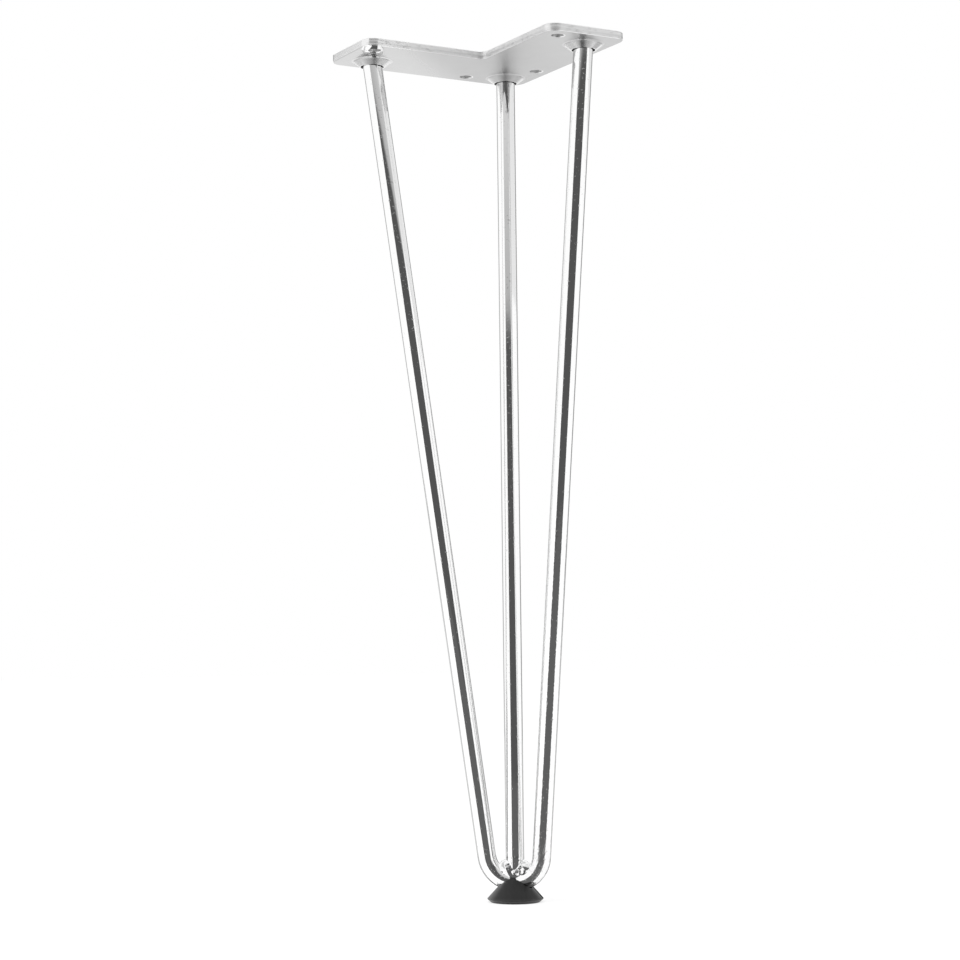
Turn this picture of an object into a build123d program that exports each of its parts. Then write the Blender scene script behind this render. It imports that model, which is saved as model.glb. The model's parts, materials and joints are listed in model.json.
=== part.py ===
from build123d import *
import os
from math import acos, atan2, cos, radians, sin, sqrt, tan

# Three-rod hairpin table leg, in millimetres.
# X runs along the left arm of the plate, Y along the right arm, and Z points up to the table.
# The leg is modelled from the corner rod's dish, on the plate's top face. At the end it is moved
# so that the origin lies on that face where the two lines of screw holes cross.

# Mounting plate
plate_thickness = 4.0
rod_pitch = 78.5             # corner dish to the dish on each arm
outer_margin = 15.0          # dish centre to the plate's outer edge
end_margin = 17.3            # dish centre to the arm's end
arm_width = 44.4
outer_corner_radius = 10.0
arm_corner_radius = 6.0
notch_corner_radius = 4.0
plate_edge_radius = 0.4

# Pressed dish round each rod
dish_outer_radius = 10.2
dish_lip_radius = 6.4
dish_depth = 3.0             # below the plate's underside
dish_wall = 3.0
dish_foot_run = 0.6          # half-width of the soft step from the plate to the dish

# Screw holes for the table
screw_hole_radius = 3.0
screw_hole_edge = 0.35       # small bevel left on the punched edge
screw_line = 20.0            # each line of two holes, from the corner dish
near_hole_outset = 7.0       # holes by the corner, towards the plate's outer edges
far_hole_past_dish = 8.5     # holes by the arms' ends, beyond the dish there

# Rods
rod_radius = 5.0
rod_hole_clearance = 0.9     # between a rod and its hole in the dish
bend_radius = 14.8           # centreline of the U-bend
leg_height = 435.0           # plate's top face to the floor
hub_height = 10.4            # lowest point of the bend's centreline above the floor
hub_lean = 3.5               # the hub stands this far outside the corner dish along X and Y

# Welds
plug_weld_drop = 0.6         # weld's rim below the plate's top face
plug_weld_crown = 0.3
hub_weld_reach = 12.5        # along the bend, from the hub
hub_weld_rise = 13.0         # up the corner rod, from the hub
hub_weld_depth = 4.4         # across the bend
joint_level = 4.2            # lower end of the corner rod and weld, above the bend's centreline

# Foot
foot_rim_radius = 14.5
foot_sole_radius = 12.7
foot_rim_height = 1.8
foot_rim_land = 0.4
foot_slope = 48.4            # degrees from level
foot_clearance = 0.15        # round the bend
foot_mouth = 8.4             # the channel's lips, which the bend snaps past
channel_sides = 8            # flats round the channel's section
flank_groove_width = 8.0     # below each end of the channel, down to the rim
flank_groove_depth = 0.6     # level, into the cone

inside_corner = arm_width - outer_margin
arm_end = rod_pitch + end_margin
far_hole_along = rod_pitch + far_hole_past_dish
rod_hole_radius = rod_radius + rod_hole_clearance
floor_z = -leg_height
hub = Vector(-hub_lean, -hub_lean, floor_z + hub_height)

# The dish's inner cone is its outer cone moved in by the wall.
cone_run = dish_outer_radius - dish_lip_radius
cone_length = sqrt(cone_run ** 2 + dish_depth ** 2)
cone_slope = dish_depth / cone_run
cavity_shift = dish_wall * cone_length / cone_run
cavity_mouth_radius = dish_outer_radius + (plate_thickness - cavity_shift) / cone_slope
rod_end_z = -(cavity_mouth_radius - rod_hole_radius) * cone_slope
lip_z = -(plate_thickness + dish_depth)
rod_aim_z = (rod_end_z + lip_z) / 2


def dish_places():
    return [(0, 0), (rod_pitch, 0), (0, rod_pitch)]


def screw_hole_places():
    """Two holes on each of the two lines that cross the plate's arms."""
    ends = (-near_hole_outset, far_hole_along)
    return [(screw_line, y) for y in ends] + [(x, screw_line) for x in ends]


def revolved(points):
    """Solid turned round Z from a closed outline of (radius, height) points."""
    face = make_face(Polyline(*[(r, 0, z) for r, z in points], close=True))
    return revolve(face, Axis.Z)


def plate_outline():
    """The V-shaped blank, seen from above, with its corners rounded."""
    blank = Pos(-outer_margin, -outer_margin) * Rectangle(
        outer_margin + arm_end, outer_margin + arm_end, align=(Align.MIN, Align.MIN))
    notch = Pos(inside_corner, inside_corner) * Rectangle(
        arm_end, arm_end, align=(Align.MIN, Align.MIN))
    shape = blank - notch
    corners = shape.vertices()
    outer = [v for v in corners if v.X + v.Y < -outer_margin]
    notched = [v for v in corners if abs(v.X - inside_corner) + abs(v.Y - inside_corner) < 0.1]
    ends = [v for v in corners if max(v.X, v.Y) > arm_end - 0.1]
    shape = fillet(ends, arm_corner_radius)
    shape = fillet(nearest(shape, outer[0]), outer_corner_radius)
    return fillet(nearest(shape, notched[0]), notch_corner_radius)


def nearest(shape, vertex):
    """The shape's vertex that stands where the given vertex stood."""
    return shape.vertices().sort_by(lambda v: (v.center() - vertex.center()).length)[0]


def dish_body():
    """Outer form of one dish, from inside the plate down to its lip."""
    step_radius = dish_outer_radius + dish_foot_run
    cone_start = (
        dish_outer_radius - dish_foot_run * cone_run / cone_length,
        -plate_thickness - dish_foot_run * dish_depth / cone_length,
    )
    return revolved([
        (0, -plate_thickness / 2),
        (step_radius, -plate_thickness / 2),
        (step_radius, -plate_thickness),
        cone_start,
        (dish_lip_radius, lip_z),
        (0, lip_z),
    ])


def dish_cavity():
    """Space above one dish, with the rod's hole through its bottom."""
    return revolved([
        (0, 0),
        (cavity_mouth_radius, 0),
        (rod_hole_radius, rod_end_z),
        (rod_hole_radius, lip_z),
        (0, lip_z),
    ])


def screw_hole():
    """Punched hole with a small bevel at both faces."""
    bevelled = screw_hole_radius + screw_hole_edge
    return revolved([
        (0, 0),
        (bevelled, 0),
        (screw_hole_radius, -screw_hole_edge),
        (screw_hole_radius, -plate_thickness + screw_hole_edge),
        (bevelled, -plate_thickness),
        (0, -plate_thickness),
    ])


def mounting_plate():
    plate = extrude(plate_outline(), -plate_thickness)
    rims = plate.faces().filter_by(Axis.Z).edges()
    plate = chamfer(rims, plate_edge_radius)
    for x, y in dish_places():
        plate += Pos(x, y) * dish_body()
    for x, y in dish_places():
        plate -= Pos(x, y) * dish_cavity()
    for x, y in screw_hole_places():
        plate -= Pos(x, y) * screw_hole()
    return plate


def hairpin_plane():
    """Plane of the bend: X across the leg, Y up between the two arms, through the hub."""
    top_middle = Vector(rod_pitch / 2, rod_pitch / 2, rod_aim_z)
    up = (top_middle - hub).normalized()
    across = Vector(1, -1, 0).normalized()
    return Plane(origin=hub, x_dir=across, z_dir=across.cross(up))


def hairpin_arm():
    """Where one arm aims at its hole, and where it meets the bend, in the hairpin's plane."""
    aim = hairpin_plane().to_local_coords(Vector(rod_pitch, 0, rod_aim_z))
    span = sqrt(aim.X ** 2 + (aim.Y - bend_radius) ** 2)
    turn = atan2(aim.X, aim.Y - bend_radius) + acos(bend_radius / span)
    meet = (bend_radius * sin(turn), bend_radius + bend_radius * cos(turn))
    return (aim.X, aim.Y), meet


def below_rod_ends(rods):
    """The rods without what stands above the level of the plug welds."""
    size = 4 * arm_end
    above = Pos(0, 0, rod_end_z) * Box(size, size, size, align=(Align.CENTER, Align.CENTER, Align.MIN))
    return rods - above


def hairpin_rod():
    """Two straight arms joined by a U-bend, cut level inside the dishes."""
    plane = hairpin_plane()
    aim, meet = hairpin_arm()
    stretch = 1 + 2 * rod_radius / leg_height
    tip = (meet[0] + (aim[0] - meet[0]) * stretch, meet[1] + (aim[1] - meet[1]) * stretch)
    right = Line(meet, tip)
    bend = ThreePointArc((-meet[0], meet[1]), (0, 0), meet)
    left = Line((-tip[0], tip[1]), (-meet[0], meet[1]))
    path = plane * Wire([left, bend, right])
    section = Plane(origin=path @ 0, z_dir=path % 0) * Circle(rod_radius)
    return below_rod_ends(sweep(section, path=path))


def corner_bar():
    """Straight bar from the hub to above the corner rod's hole."""
    axis = Vector(0, 0, rod_aim_z) - hub
    length = axis.length + 2 * rod_radius
    return extrude(Plane(origin=hub, z_dir=axis.normalized()) * Circle(rod_radius), length)


def hub_weld():
    """Bead that fills the corners between the bend and the corner rod, part of an ellipsoid."""
    ball = scale(Sphere(1), by=(hub_weld_reach, hub_weld_rise, hub_weld_depth))
    return hairpin_plane().location * ball


def corner_rod(hairpin):
    """Straight rod, cut level in its dish, standing on the bend and welded to it."""
    size = 4 * hub_weld_rise
    below = Pos(0, joint_level) * Box(size, size, size, align=(Align.CENTER, Align.MAX, Align.CENTER))
    rod = below_rod_ends(corner_bar()) + hub_weld()
    rod = rod - hairpin_plane().location * below - hairpin
    return rod.solids().sort_by(SortBy.VOLUME)[-1]


def plug_weld():
    """Weld that fills a dish down to the rod's end, slightly raised in the middle."""
    rim_radius = cavity_mouth_radius - plug_weld_drop / cone_slope
    return revolved([
        (0, rod_end_z),
        (rod_hole_radius, rod_end_z),
        (rim_radius, -plug_weld_drop),
        (0, plug_weld_crown - plug_weld_drop),
    ])


def plug_welds():
    return Compound([Pos(x, y) * plug_weld() for x, y in dish_places()])


def foot_channel():
    """Room for the bend: a channel of flats along it, with a narrower mouth open upward."""
    plane = hairpin_plane()
    crossways = Plane(origin=hub, x_dir=plane.z_dir, z_dir=plane.x_dir)
    section = RegularPolygon(
        rod_radius + foot_clearance, channel_sides, major_radius=False, rotation=180 / channel_sides)
    bend_axis = Axis(plane.from_local_coords((0, bend_radius, 0)), plane.z_dir)
    ring = revolve(crossways * section, bend_axis)
    mouth = Pos(0, bend_radius) * Cylinder(bend_radius, foot_mouth)
    return ring + plane.location * mouth


def foot_cone(inset):
    """Cone on the floor with a bevelled sole, its flank and rim moved in by the inset."""
    rim_radius = foot_rim_radius - inset
    rim_top = foot_rim_height + foot_rim_land / 2
    return Pos(hub.X, hub.Y, floor_z) * revolved([
        (0, 0),
        (min(foot_sole_radius, rim_radius), 0),
        (rim_radius, foot_rim_height - foot_rim_land / 2),
        (rim_radius, rim_top),
        (0, rim_top + rim_radius * tan(radians(foot_slope))),
    ])


def flank_grooves():
    """Shallow grooves down the cone, below both ends of the channel."""
    across = Plane(origin=(hub.X, hub.Y, floor_z + foot_rim_height), x_dir=(1, -1, 0), z_dir=(0, 0, 1))
    slab = across * Box(4 * foot_rim_radius, flank_groove_width, foot_rim_radius,
                        align=(Align.CENTER, Align.CENTER, Align.MIN))
    return slab - foot_cone(flank_groove_depth)


def foot():
    """Cone cut by the channel and by the grooves below it."""
    cone = foot_cone(0) - flank_grooves() - foot_channel()
    return cone.solids().sort_by(SortBy.VOLUME)[-1]


def placed(piece):
    """The piece moved into the leg's frame, as one solid or as a group of them."""
    solids = [Pos(-screw_line, -screw_line) * solid for solid in piece.solids()]
    return solids[0] if len(solids) == 1 else Compound(children=solids)


def main():
    os.makedirs("parts", exist_ok=True)
    hairpin = hairpin_rod()
    pieces = {
        "mounting_plate": mounting_plate(),
        "hairpin_rod": hairpin,
        "corner_rod": corner_rod(hairpin),
        "plate_welds": plug_welds(),
        "foot": foot(),
    }
    for name, piece in pieces.items():
        part = placed(piece)
        part.label = name
        export_step(part, f"parts/{name}.step")


main()
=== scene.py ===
"""Looks, light and camera for the three-rod hairpin leg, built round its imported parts."""
import json

import bpy
import numpy as np
from mathutils import Matrix, Vector


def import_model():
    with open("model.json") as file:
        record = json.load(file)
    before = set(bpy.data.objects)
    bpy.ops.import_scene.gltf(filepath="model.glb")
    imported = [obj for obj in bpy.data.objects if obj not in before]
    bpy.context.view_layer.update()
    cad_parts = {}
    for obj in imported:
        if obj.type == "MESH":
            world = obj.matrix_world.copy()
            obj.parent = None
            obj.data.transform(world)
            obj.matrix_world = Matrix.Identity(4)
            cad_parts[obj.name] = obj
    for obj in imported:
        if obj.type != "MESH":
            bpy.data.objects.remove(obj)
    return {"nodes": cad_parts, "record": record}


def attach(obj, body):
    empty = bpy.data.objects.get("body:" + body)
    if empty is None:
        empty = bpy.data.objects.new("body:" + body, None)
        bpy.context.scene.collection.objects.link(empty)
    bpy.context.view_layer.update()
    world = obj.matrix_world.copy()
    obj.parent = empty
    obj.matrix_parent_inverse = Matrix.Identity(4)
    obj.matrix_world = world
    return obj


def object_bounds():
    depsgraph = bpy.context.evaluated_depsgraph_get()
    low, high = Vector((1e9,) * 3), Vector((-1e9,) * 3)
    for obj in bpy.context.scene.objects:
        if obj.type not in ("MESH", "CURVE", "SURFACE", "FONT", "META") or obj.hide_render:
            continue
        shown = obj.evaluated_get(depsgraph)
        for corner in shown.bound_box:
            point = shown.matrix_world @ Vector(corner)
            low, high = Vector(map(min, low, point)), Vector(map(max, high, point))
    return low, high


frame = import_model()
bounds_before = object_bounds()

# Hub at the foot, in metres
mounts = {mount["name"]: mount for mount in frame["record"]["mounts"]}
HUB_HEIGHT = 0.0104
FOOT_X, FOOT_Y, FLOOR_Z = mounts["floor_face"]["pos_m"]
HUB = Vector((FOOT_X, FOOT_Y, FLOOR_Z + HUB_HEIGHT))

# Plate, its end at the left arm and its dishes, in metres
PLATE_BOTTOM = -0.004
ARM_END = bounds_before[1][0]
CORNER_DISH = -0.020
ARM_DISH = CORNER_DISH + 0.0785
DISHES = ((CORNER_DISH, CORNER_DISH), (ARM_DISH, CORNER_DISH), (CORNER_DISH, ARM_DISH))
BETWEEN_ARM_DISHES = (CORNER_DISH + ARM_DISH) / 2
BEND_TOP = Vector((BETWEEN_ARM_DISHES, BETWEEN_ARM_DISHES, -0.005))

# Screw holes, two on each line, and the oval beside the far one on the left arm, made smoother there and
# painted paler as a painted reflection
LINE_MIDDLE = mounts["screws_along_x"]["pos_m"][0]
HALF_LINE = mounts["screws_along_x"]["dims"]["spacing_x_mm"] / 2000
NEAR_HOLE, FAR_HOLE = LINE_MIDDLE - HALF_LINE, LINE_MIDDLE + HALF_LINE
SCREW_HOLES = ((FAR_HOLE, 0.0), (0.0, FAR_HOLE), (NEAR_HOLE, 0.0), (0.0, NEAR_HOLE))
POLISHED_SHEEN_SPOT = (FAR_HOLE + 0.0023, 0.0017)
POLISHED_SHEEN_HALF_WIDTHS = (0.0052, 0.0107)

# Weld bead, in millimetres across and up from the hub
WELD_MIDDLE = (0.3, 6.2)
WELD_HALF_WIDTH = 9.0
WELD_BELOW, WELD_ABOVE = 4.9, 6.2
WELD_BACK = 4.0

# Camera, fitted to the photo
CAMERA_AT = Vector((0.578715, 1.026654, -0.301354))
CAMERA_RIGHT = Vector((-0.874457, 0.485033, -0.008239))
CAMERA_UP = Vector((0.026856, 0.065362, 0.9975))
LENS = 86.872
SENSOR = 36.0

# Level directions on the part: across its front and towards its front
RIGHTWARD = (-0.874, 0.485)
FORWARD = (0.485, 0.874)

# Stage cards: distances from the hub and height over the floor
ROOM_RADIUS = 0.75
FLAG_RADIUS = 1.9
CARD_LIFT = 0.0005


class Socket:
    """An output of a shader node that can be used in sums and passed on to other nodes."""

    def __init__(self, tree, output):
        self.tree = tree
        self.output = output

    def math(self, operation, *others, clamp=False):
        return self.tree.node("ShaderNodeMath", dict(operation=operation, use_clamp=clamp), self, *others)

    def __add__(self, other):
        return self.math("ADD", other)

    def __sub__(self, other):
        return self.math("SUBTRACT", other)

    def __mul__(self, other):
        return self.math("MULTIPLY", other)

    def __truediv__(self, other):
        return self.math("DIVIDE", other)

    def __rsub__(self, other):
        return self.tree.node("ShaderNodeMath", dict(operation="SUBTRACT"), other, self)

    def __neg__(self):
        return self.math("MULTIPLY", -1.0)

    __radd__ = __add__
    __rmul__ = __mul__

    def clamped(self):
        return self.math("ADD", 0.0, clamp=True)

    def between(self, low, high):
        """0 below low, 1 above high, and smooth in between."""
        settings = dict(interpolation_type="SMOOTHSTEP")
        return self.tree.node("ShaderNodeMapRange", settings, self, low, high, 0.0, 1.0)

    def below(self, low, high):
        """1 below low, 0 above high, and smooth in between."""
        return 1.0 - self.between(low, high)

    def near(self, middle, width):
        """1 at the middle value, down to 0 at the given distance from it."""
        return (self - middle).math("ABSOLUTE").below(0.0, width)


class Tree:
    """Nodes of one material or world."""

    def __init__(self, owner):
        owner.use_nodes = True
        self.nodes = owner.node_tree.nodes
        self.links = owner.node_tree.links
        self.nodes.clear()

    def node(self, kind, settings=None, *inputs, output=0, **named):
        """Adds a node with its settings and inputs, given in order or by name, and returns one output."""
        made = self.nodes.new(kind)
        for key, value in (settings or {}).items():
            setattr(made, key, value)
        sockets = list(zip(made.inputs, inputs))
        sockets += [(made.inputs[key.replace("_", " ")], value) for key, value in named.items()]
        for socket, value in sockets:
            if isinstance(value, Socket):
                self.links.new(value.output, socket)
            elif value is not None:
                socket.default_value = value
        return Socket(self, made.outputs[output]) if made.outputs else None

    def place(self):
        """Object coordinates, in metres."""
        return self.node("ShaderNodeTexCoord", output="Object")

    def axes(self):
        point = self.place()
        return [self.node("ShaderNodeSeparateXYZ", None, point, output=i) for i in range(3)]

    def noise(self, scale, detail=2.0, stretch=(1.0, 1.0, 1.0), rough=0.5):
        stretched = self.node("ShaderNodeMapping", None, Vector=self.place(), Scale=stretch)
        return self.node("ShaderNodeTexNoise", None, Vector=stretched,
                         Scale=scale, Detail=detail, Roughness=rough)

    def bump(self, height, distance, strength=1.0, normal=None):
        return self.node("ShaderNodeBump", None, Height=height, Distance=distance,
                         Strength=strength, Normal=normal)

    def grey(self, value):
        return self.node("ShaderNodeCombineColor", None, value, value, value)

    def surface(self, shader):
        self.node("ShaderNodeOutputMaterial", None, Surface=shader)

    def principled(self, **named):
        self.surface(self.node("ShaderNodeBsdfPrincipled", None, **named))


def distance(x, y, at):
    """Level distance of the point from a place."""
    along_x, along_y = x - at[0], y - at[1]
    return (along_x * along_x + along_y * along_y).math("SQRT")


def offset(x, y, at, direction):
    """How far the point lies from a place along a level direction."""
    return (x - at[0]) * direction[0] + (y - at[1]) * direction[1]


def material(name):
    made = bpy.data.materials.new(name)
    return made, Tree(made)


def bar_relief(t, pits):
    """Height of the flaws in the bar: slow waves and pits all over, deeper pits near the hub, a rough
    lower half of the right arm, and weld drops on the right of the bend."""
    x, y, z = t.axes()
    waves = t.noise(260.0, 2.0, (1.0, 1.0, 0.35))
    deeper = (y - x).between(0.004, 0.012) * z.below(-0.400, -0.340) + z.below(-0.412, -0.395)
    chatter = t.noise(800.0, 1.0) * (y - x).between(0.008, 0.020) * z.below(-0.26, -0.22)
    drops = t.noise(1300.0, 1.0).between(0.50, 0.62) * (y - x).between(0.012, 0.016)
    drops = drops * z.below(-0.412, -0.398)
    return waves * 0.5 + chatter + drops * 1.3 - pits * (0.55 + deeper * 0.8)


def bar_finish(t):
    """Tone, roughness and normal of mirror plating on drawn bar, with fine lines along it."""
    drawn = t.noise(900.0, 3.0, (1.0, 1.0, 0.03))
    grain = t.noise(2600.0, 2.0)
    pits = t.noise(850.0, 2.0).between(0.64, 0.72)
    normal = t.bump(drawn * 0.7 + grain * 0.3, 0.000012, 0.4)
    normal = t.bump(bar_relief(t, pits), 0.00008, 0.5, normal)
    rough = 0.04 + drawn * 0.03
    tone = 0.99 - t.noise(40.0, 2.0) * 0.01 - pits * 0.1
    return tone, rough, normal


def bright_bar():
    """Mirror plating on drawn bar."""
    made, t = material("bright_bar")
    tone, rough, normal = bar_finish(t)
    t.principled(Base_Color=t.grey(tone), Metallic=1.0, Roughness=rough, Normal=normal)
    return made


def welded_bar():
    """The same plating, running over the lumps of the weld at the bar's lower end."""
    made, t = material("welded_bar")
    x, y, z = t.axes()
    tone, rough, normal = bar_finish(t)
    weld = distance(x, y, HUB).between(0.0050, 0.0056) * z.below(HUB.z + 0.012, HUB.z + 0.0135)
    normal = t.bump(t.noise(260.0, 2.0) * weld, 0.0022, 0.9, normal)
    rough = rough + weld * 0.04
    t.principled(Base_Color=t.grey(tone), Metallic=1.0, Roughness=rough, Normal=normal)
    return made


def weld_metal():
    """Plating over the weld bead, finely rippled, with a few pits."""
    made, t = material("weld_metal")
    tone, rough, normal = bar_finish(t)
    pits = t.noise(1100.0, 2.0).between(0.66, 0.72)
    normal = t.bump(t.noise(500.0, 1.0) - pits, 0.00006, 0.5, normal)
    t.principled(Base_Color=t.grey(tone - pits * 0.5), Metallic=1.0, Roughness=rough + 0.03, Normal=normal)
    return made


def hole_masks(x, y):
    """1 in the screw holes, and 1 in that end of each which catches the light."""
    insides = [distance(x, y, at).below(0.0034, 0.0042) for at in SCREW_HOLES]
    ends = [offset(x, y, at, RIGHTWARD).between(0.0010, 0.0024) for at in SCREW_HOLES]
    return sum(insides), sum(inside * end for inside, end in zip(insides, ends))


def dish_masks(x, y, dish):
    """1 on the fronts of the dishes, where a dark reflection is painted, and 1 on their flanks, where a
    pale reflection is painted.
    """
    fronts, flanks = [], []
    for at in DISHES:
        away = distance(x, y, at)
        facing = offset(x, y, at, FORWARD) / away
        cone = dish * away.below(0.0125, 0.0130)
        fronts.append(cone * facing.between(0.78, 1.02))
        flanks.append(cone * facing.below(0.50, 0.90))
    return sum(fronts), sum(flanks)


def polish_and_painted_sheen_mask(x, y, z):
    """1 in an oval on the underside, at the left arm's end, which is made smoother and painted paler as a
    painted reflection.
    """
    across, along = [offset(x, y, POLISHED_SHEEN_SPOT, way) / half
                     for way, half in zip((RIGHTWARD, FORWARD), POLISHED_SHEEN_HALF_WIDTHS)]
    oval = (across * across + along * along).below(0.80, 1.15)
    return oval * z.below(PLATE_BOTTOM + 0.00010, PLATE_BOTTOM + 0.00028)


def sheared_edge(t, x):
    """Layers and torn spots of the sheared edge, and 1 at the left arm's end, where they hardly show."""
    smooth = x.between(ARM_END - 0.0013, ARM_END - 0.0006)
    layers = t.noise(200.0, 3.0, (0.10, 0.10, 6.0), 0.6)
    torn = t.noise(600.0, 3.0, (0.35, 0.35, 1.0), 0.6).between(0.50, 0.66)
    return layers - smooth * (layers - 0.5) * 0.8, torn * (1.0 - smooth * 0.9), smooth


def plate_metal():
    """Bright plating over rolled sheet, mirror-like at the left arm's end, with sheared edges, painted
    highlights on its rounded edges and creases, and painted reflections on its dishes and at the left arm's
    end.
    """
    made, t = material("plate_metal")
    x, y, z = t.axes()
    side = z.between(PLATE_BOTTOM + 0.00028, PLATE_BOTTOM + 0.00050) * z.below(-0.00050, -0.00028)
    # Painted highlight: the rounded edges of the plate have their tone raised by 0.38, except in the screw
    # holes.
    rounded = z.between(PLATE_BOTTOM + 0.00001, PLATE_BOTTOM + 0.00010) * z.below(-0.00008, -0.00002) - side
    dish = z.below(PLATE_BOTTOM - 0.0010, PLATE_BOTTOM - 0.0001)
    # Painted highlight: a paler thin line along the crease where the dishes leave the plate.
    crease = z.near(PLATE_BOTTOM - 0.0002, 0.0002)
    bore, glint = hole_masks(x, y)
    # Painted reflections on the dishes: their fronts are painted darker and their flanks paler.
    front, flank = dish_masks(x, y, dish)
    # Painted reflection: this oval is made less rough, and its tone is raised by 0.36.
    polish_and_painted_sheen = polish_and_painted_sheen_mask(x, y, z)
    layers, torn, smooth = sheared_edge(t, x)
    side = side * (1.0 - bore)
    lower = side * z.near(-0.0026, 0.0010) * (1.0 - smooth)

    cloud = t.noise(70.0, 3.0)
    polish = (x - y).between(0.02, 0.07) * (1.0 - dish)
    rough = 0.38 - polish * 0.28 - (y - x).between(0.02, 0.07) * 0.06 + cloud * 0.06
    rough = rough - polish_and_painted_sheen * (rough - 0.05) - dish * 0.10

    normal = t.bump(t.noise(1200.0, 2.0, (1.0, 0.06, 1.0)), 0.00001, 0.3)
    normal = t.bump(t.noise(150.0, 1.0) * polish_and_painted_sheen, 0.0012, 0.5, normal)
    normal = t.bump(side * (1.0 - smooth * 0.7) * (layers * 0.8 + torn * 0.2), 0.0007, 0.8, normal)

    tone = 0.555 + cloud * 0.08 + side * (layers * 0.34 + 0.10) - side * torn * 0.10
    tone = tone - lower * 0.10 + rounded * (1.0 - bore) * 0.38 + crease * 0.12 + glint * 0.40
    tone = tone + polish_and_painted_sheen * 0.36 + dish * 0.10 - front * 0.29 + flank * 0.20
    t.principled(Base_Color=t.grey(tone.clamped()), Metallic=1.0, Roughness=rough, Normal=normal)
    return made


def plug_weld_metal():
    """Plated weld with low ripples."""
    made, t = material("plug_weld_metal")
    ripple = t.noise(320.0, 2.0)
    normal = t.bump(ripple + t.noise(900.0, 2.0) * 0.3, 0.0016, 0.9)
    tone = t.grey(0.62 + t.noise(90.0, 2.0) * 0.08)
    t.principled(Base_Color=tone, Metallic=1.0, Roughness=0.28 + ripple * 0.12, Normal=normal)
    return made


def foot_plastic():
    """Moulded black plastic with fine rings from the mould, a painted sheen on its flanks, and a polished
    bevel that is also painted a little paler as a painted highlight.
    """
    made, t = material("foot_plastic")
    x, y, z = t.axes()
    # Painted highlight: the bevel at the rim is painted a little paler, besides being less rough.
    rim = z.near(FLOOR_Z + 0.0016, 0.0012)
    right = offset(x, y, HUB, RIGHTWARD) / distance(x, y, HUB)
    # Painted sheen: the flanks towards the left and right of the front are painted paler, the left one
    # more.
    flanks = (-right).between(0.70, 1.02) * 0.11 + right.between(0.70, 1.0) * 0.03
    grain = t.noise(1500.0, 2.0)
    rings = t.noise(420.0, 2.0, (0.08, 0.08, 4.0))
    cloud = t.noise(160.0, 2.0)
    tone = t.grey(0.010 + rim * 0.02 + cloud * 0.006 + flanks)
    rough = 0.38 - rim * 0.10 + grain * 0.08 + cloud * 0.06
    normal = t.bump(grain * 0.4 + rings * 0.6, 0.00005, 0.6)
    t.principled(Base_Color=tone, Roughness=rough, Specular_IOR_Level=0.38, Normal=normal)
    return made


def dress(node, made):
    """Puts a material into the node's slot."""
    slots = frame["nodes"][node].data.materials
    if slots:
        slots[0] = made
    else:
        slots.append(made)


def mesh_object(name, points, faces, made):
    mesh = bpy.data.meshes.new(name)
    mesh.from_pydata(points.tolist(), [], faces)
    mesh.materials.append(made)
    placed = bpy.data.objects.new(name, mesh)
    bpy.context.scene.collection.objects.link(placed)
    return placed


def closed_skin(name, rings, made):
    """Closed surface through the rings of a grid of points. The first and last rings are poles, kept as
    one point each. Faces look outward where the rings run anticlockwise seen from the first pole."""
    rows, count = rings.shape[:2]
    points = np.concatenate((rings[0, :1], rings[1:-1].reshape(-1, 3), rings[-1, :1]))
    here = 1 + np.arange((rows - 2) * count).reshape(rows - 2, count)
    after = np.roll(here, -1, axis=1)
    top = np.stack((np.zeros_like(here[0]), here[0], after[0]), axis=-1)
    walls = np.stack((here[:-1], here[1:], after[1:], after[:-1]), axis=-1).reshape(-1, 4)
    end = np.stack((here[-1], np.full_like(here[-1], len(points) - 1), after[-1]), axis=-1)
    placed = mesh_object(name, points, top.tolist() + walls.tolist() + end.tolist(), made)
    placed.data.shade_smooth()
    return placed


def swell(u, v, at_u, at_v, half_u, half_v):
    """Round hill of height 1 that dies away beyond its half widths."""
    return np.exp(-((u - at_u) / half_u) ** 2 - ((v - at_v) / half_v) ** 2)


def ridge(u, v, start, end, half):
    """Hill of height 1 along a straight line, rounded at both ends."""
    run, rise = end[0] - start[0], end[1] - start[1]
    along = np.clip(((u - start[0]) * run + (v - start[1]) * rise) / (run ** 2 + rise ** 2), 0.0, 1.0)
    return swell(u, v, start[0] + run * along, start[1] + rise * along, half, half)


def weld_front(u, v):
    """How far the weld's front stands out, in millimetres, across (u) and up (v) from the bend's middle:
    a plain dome, a crest left of the corner rod with a slope from it over the rod, a lump at the left,
    a ball and an arch at the right, three dents, and fine ripples."""
    crest = u + 1.0 + 0.43 * (v - 2.0)
    slope = np.maximum(1.9 - 0.25 * crest, 0.0) * np.exp(-np.maximum(crest - 3.5, 0.0) ** 2)
    front = 4.0 - 0.13 * v + np.where(crest > 0, slope, 1.9 * np.exp(-(crest / 1.3) ** 2))
    lump, ball = swell(u, v, -5.6, 4.8, 1.9, 3.0), swell(u, v, 6.1, 5.9, 2.3, 2.6)
    arch = np.maximum(ridge(u, v, (1.0, 6.0), (4.2, 9.4), 0.8), ridge(u, v, (4.2, 9.4), (7.6, 8.4), 0.8))
    eye = swell(u, v, 2.6, 6.3, 1.0, 0.9)
    dents = swell(u, v, -5.9, 5.4, 0.6, 0.7) + swell(u, v, -5.0, 3.4, 0.7, 0.6)
    ripples = 0.05 * np.sin(2.9 * u + 1.3 * v) + 0.04 * np.sin(3.4 * v - 1.7 * u)
    return front + 1.6 * lump + 1.8 * ball + 1.2 * arch - 1.3 * eye - 1.2 * dents + ripples


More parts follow.
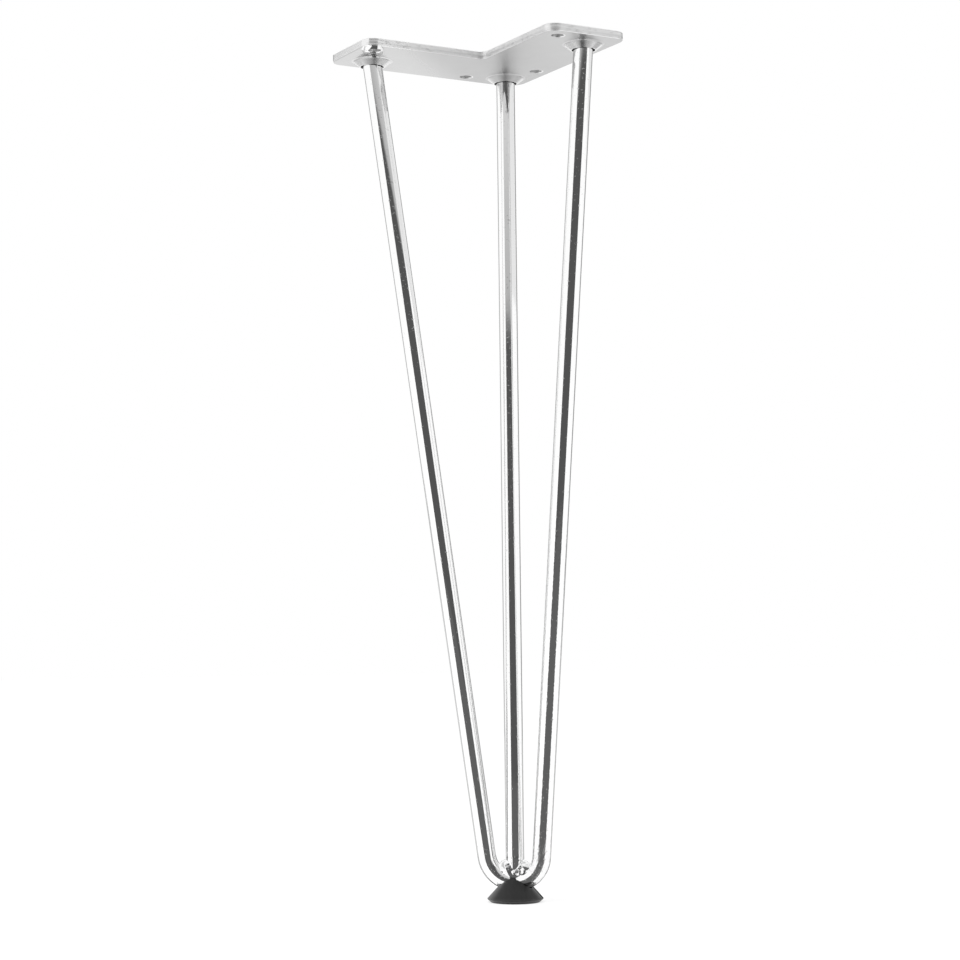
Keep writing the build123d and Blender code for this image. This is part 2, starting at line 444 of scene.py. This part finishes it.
def weld_surface(turn, tilt):
    """Points of the weld bead, in millimetres: across the leg, up from the bend's middle and towards the
    camera. It is a flattened ball. Turn runs round the line of sight, along an oval that is lower below
    its middle than above. Tilt runs from the front pole to the back one, and the depth is the root of
    its cosine, times the front's shape or the plain back's."""
    rise = np.sin(turn)
    u = WELD_MIDDLE[0] + np.sin(tilt) * np.cos(turn) * WELD_HALF_WIDTH
    v = WELD_MIDDLE[1] + np.sin(tilt) * rise * np.where(rise < 0, WELD_BELOW, WELD_ABOVE)
    depth = np.where(np.cos(tilt) > 0, weld_front(u, v), WELD_BACK)
    w = depth * np.sqrt(np.abs(np.cos(tilt))) * np.sign(np.cos(tilt))
    return np.stack((u, v, w), axis=-1)


def weld_bead():
    """The lumpy weld between the bend and the corner rod, laid over the plain one of the corner rod."""
    turn, tilt = np.meshgrid(np.linspace(0.0, 2 * np.pi, 161)[:-1], np.linspace(0.0, np.pi, 121))
    up = (BEND_TOP - HUB).normalized()
    right = Vector((-1.0, 1.0, 0.0)).normalized()
    axes = np.array((right, up, right.cross(up)))
    rings = np.array(HUB) + weld_surface(turn, tilt) @ axes * 0.001
    made = closed_skin("weld_bead", rings, weld_metal())
    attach(made, "root")


def card_tone(name, value):
    """Plain tone of a card, the same from all sides."""
    made, t = material(name)
    t.surface(t.node("ShaderNodeEmission", None, t.grey(value), 1.0))
    return made


def seen_directly(t):
    """1 for the camera's own rays and for mirror and glass rays, 0 for the rays that light the object."""
    names = ("Is Camera Ray", "Is Glossy Ray", "Is Transmission Ray")
    return sum(t.node("ShaderNodeLightPath", output=name) for name in names).clamped()


def floor_white():
    """Pale floor that is seen as white, and keeps the shadow that falls on it."""
    made, t = material("floor_white")
    matt = t.node("ShaderNodeBsdfDiffuse", None, (0.9, 0.9, 0.9, 1.0), 0.0)
    glow = t.node("ShaderNodeEmission", None, (1.0, 1.0, 1.0, 1.0), 1.16)
    t.surface(t.node("ShaderNodeMixShader", None, seen_directly(t) * 0.62, matt, glow))
    return made


def dark_room():
    """Dark room behind the camera, paler above the camera's height."""
    made, t = material("dark_room")
    x, y, z = t.axes()
    tone = 0.085 + z.between(-0.07, -0.02) * 0.38
    tone = tone + z.between(-0.02, 0.03) * 0.04 + z.between(0.03, 0.13) * 0.12
    t.surface(t.node("ShaderNodeEmission", None, t.grey(tone), 1.0))
    return made


def card(name, rows, made):
    """A stage card between two rows of points, seen only in reflections."""
    count = rows.shape[1]
    here = np.arange(count - 1)
    faces = np.stack((here, here + 1, here + count + 1, here + count), axis=-1)
    placed = mesh_object(name, rows.reshape(-1, 3), faces.tolist(), made)
    placed.visible_camera = False
    placed.visible_shadow = False
    placed.visible_diffuse = False


def arc(azimuth_from, azimuth_to, radius, height):
    """Points on a level circle round the hub. Azimuths are degrees from the camera's side."""
    base = np.arctan2(CAMERA_AT.y - HUB.y, CAMERA_AT.x - HUB.x)
    angles = base + np.radians(np.linspace(azimuth_from, azimuth_to, 25))
    x, y = HUB.x + radius * np.cos(angles), HUB.y + radius * np.sin(angles)
    return np.stack((x, y, np.full_like(x, height)), axis=-1)


def wall(name, azimuth_from, azimuth_to, radius, low, high, made):
    """Upright card, part of a cylinder round the hub."""
    card(name, np.stack([arc(azimuth_from, azimuth_to, radius, z) for z in (low, high)]), made)


def floor_card(name, azimuth_from, azimuth_to, near, far, tone):
    """Card of a plain tone lying just above the floor, a sector round the hub."""
    height = FLOOR_Z + CARD_LIFT
    rows = np.stack([arc(azimuth_from, azimuth_to, radius, height) for radius in (near, far)])
    card(name, rows, card_tone(name, tone))


def floor():
    size = 8.0
    corners = np.array(((-size, -size, FLOOR_Z), (size, -size, FLOOR_Z),
                        (size, size, FLOOR_Z), (-size, size, FLOOR_Z)))
    made = mesh_object("floor", corners, [(0, 1, 2, 3)], floor_white())


def surroundings():
    """What the bright bars mirror: a dark room behind the camera with its dark floor, a pale wall at its
    side, grey flags far behind the leg with their floors, and a dark card for the shade on the floor just
    behind the foot."""
    wall("dark_wall", -34, 44, ROOM_RADIUS, FLOOR_Z, 1.2, dark_room())
    floor_card("dark_floor", -34, 44, 0.015, ROOM_RADIUS, 0.115)
    wall("pale_wall", 44, 112, ROOM_RADIUS, -0.02, 1.2, card_tone("pale_wall", 0.80))
    wall("flag_right", 118, 150, FLAG_RADIUS, FLOOR_Z, 1.0, card_tone("flag_right", 0.33))
    wall("flag_left", -150, -122, FLAG_RADIUS, FLOOR_Z, 1.0, card_tone("flag_left", 0.46))
    floor_card("floor_flag_right", 112, 150, 0.03, FLAG_RADIUS, 0.50)
    floor_card("floor_flag_left", -150, -108, 0.03, FLAG_RADIUS, 0.62)
    # Painted shade: a dark card stands in for the shade on the floor behind the foot, seen in reflections.
    floor_card("foot_shade", 112, 248, 0.0155, 0.11, 0.10)


def camera():
    lens = bpy.data.cameras.new("camera")
    lens.sensor_width = SENSOR
    lens.lens = LENS
    lens.clip_start = 0.01
    lens.clip_end = 50.0
    made = bpy.data.objects.new("camera", lens)
    back = CAMERA_RIGHT.cross(CAMERA_UP)
    turn = Matrix((CAMERA_RIGHT, CAMERA_UP, back)).transposed().to_4x4()
    made.matrix_world = Matrix.Translation(CAMERA_AT) @ turn
    bpy.context.scene.collection.objects.link(made)
    bpy.context.scene.camera = made


def lamp(name, place, aim, size, power):
    light = bpy.data.lights.new(name, "AREA")
    light.shape = "RECTANGLE"
    light.size, light.size_y = size
    light.energy = power
    made = bpy.data.objects.new(name, light)
    made.location = place
    made.rotation_mode = "QUATERNION"
    made.rotation_quaternion = (Vector(aim) - Vector(place)).to_track_quat("-Z", "Y")
    made.visible_glossy = False
    bpy.context.scene.collection.objects.link(made)


def world():
    made = bpy.data.worlds.new("studio")
    bpy.context.scene.world = made
    t = Tree(made)
    strength = 0.85 + seen_directly(t) * 0.15
    light = t.node("ShaderNodeBackground", None, (1.0, 1.0, 1.0, 1.0), strength)
    t.node("ShaderNodeOutputWorld", None, Surface=light)


dress("hairpin_rod", bright_bar())
dress("corner_rod", welded_bar())
dress("mounting_plate", plate_metal())
dress("plate_welds", plug_weld_metal())
dress("foot", foot_plastic())
weld_bead()

floor()
surroundings()
world()
lamp("key", (0.9, 0.2, 0.9), (0.0, 0.0, -0.2), (0.8, 0.8), 6.0)
camera()

bpy.context.scene.view_settings.view_transform = "Standard"
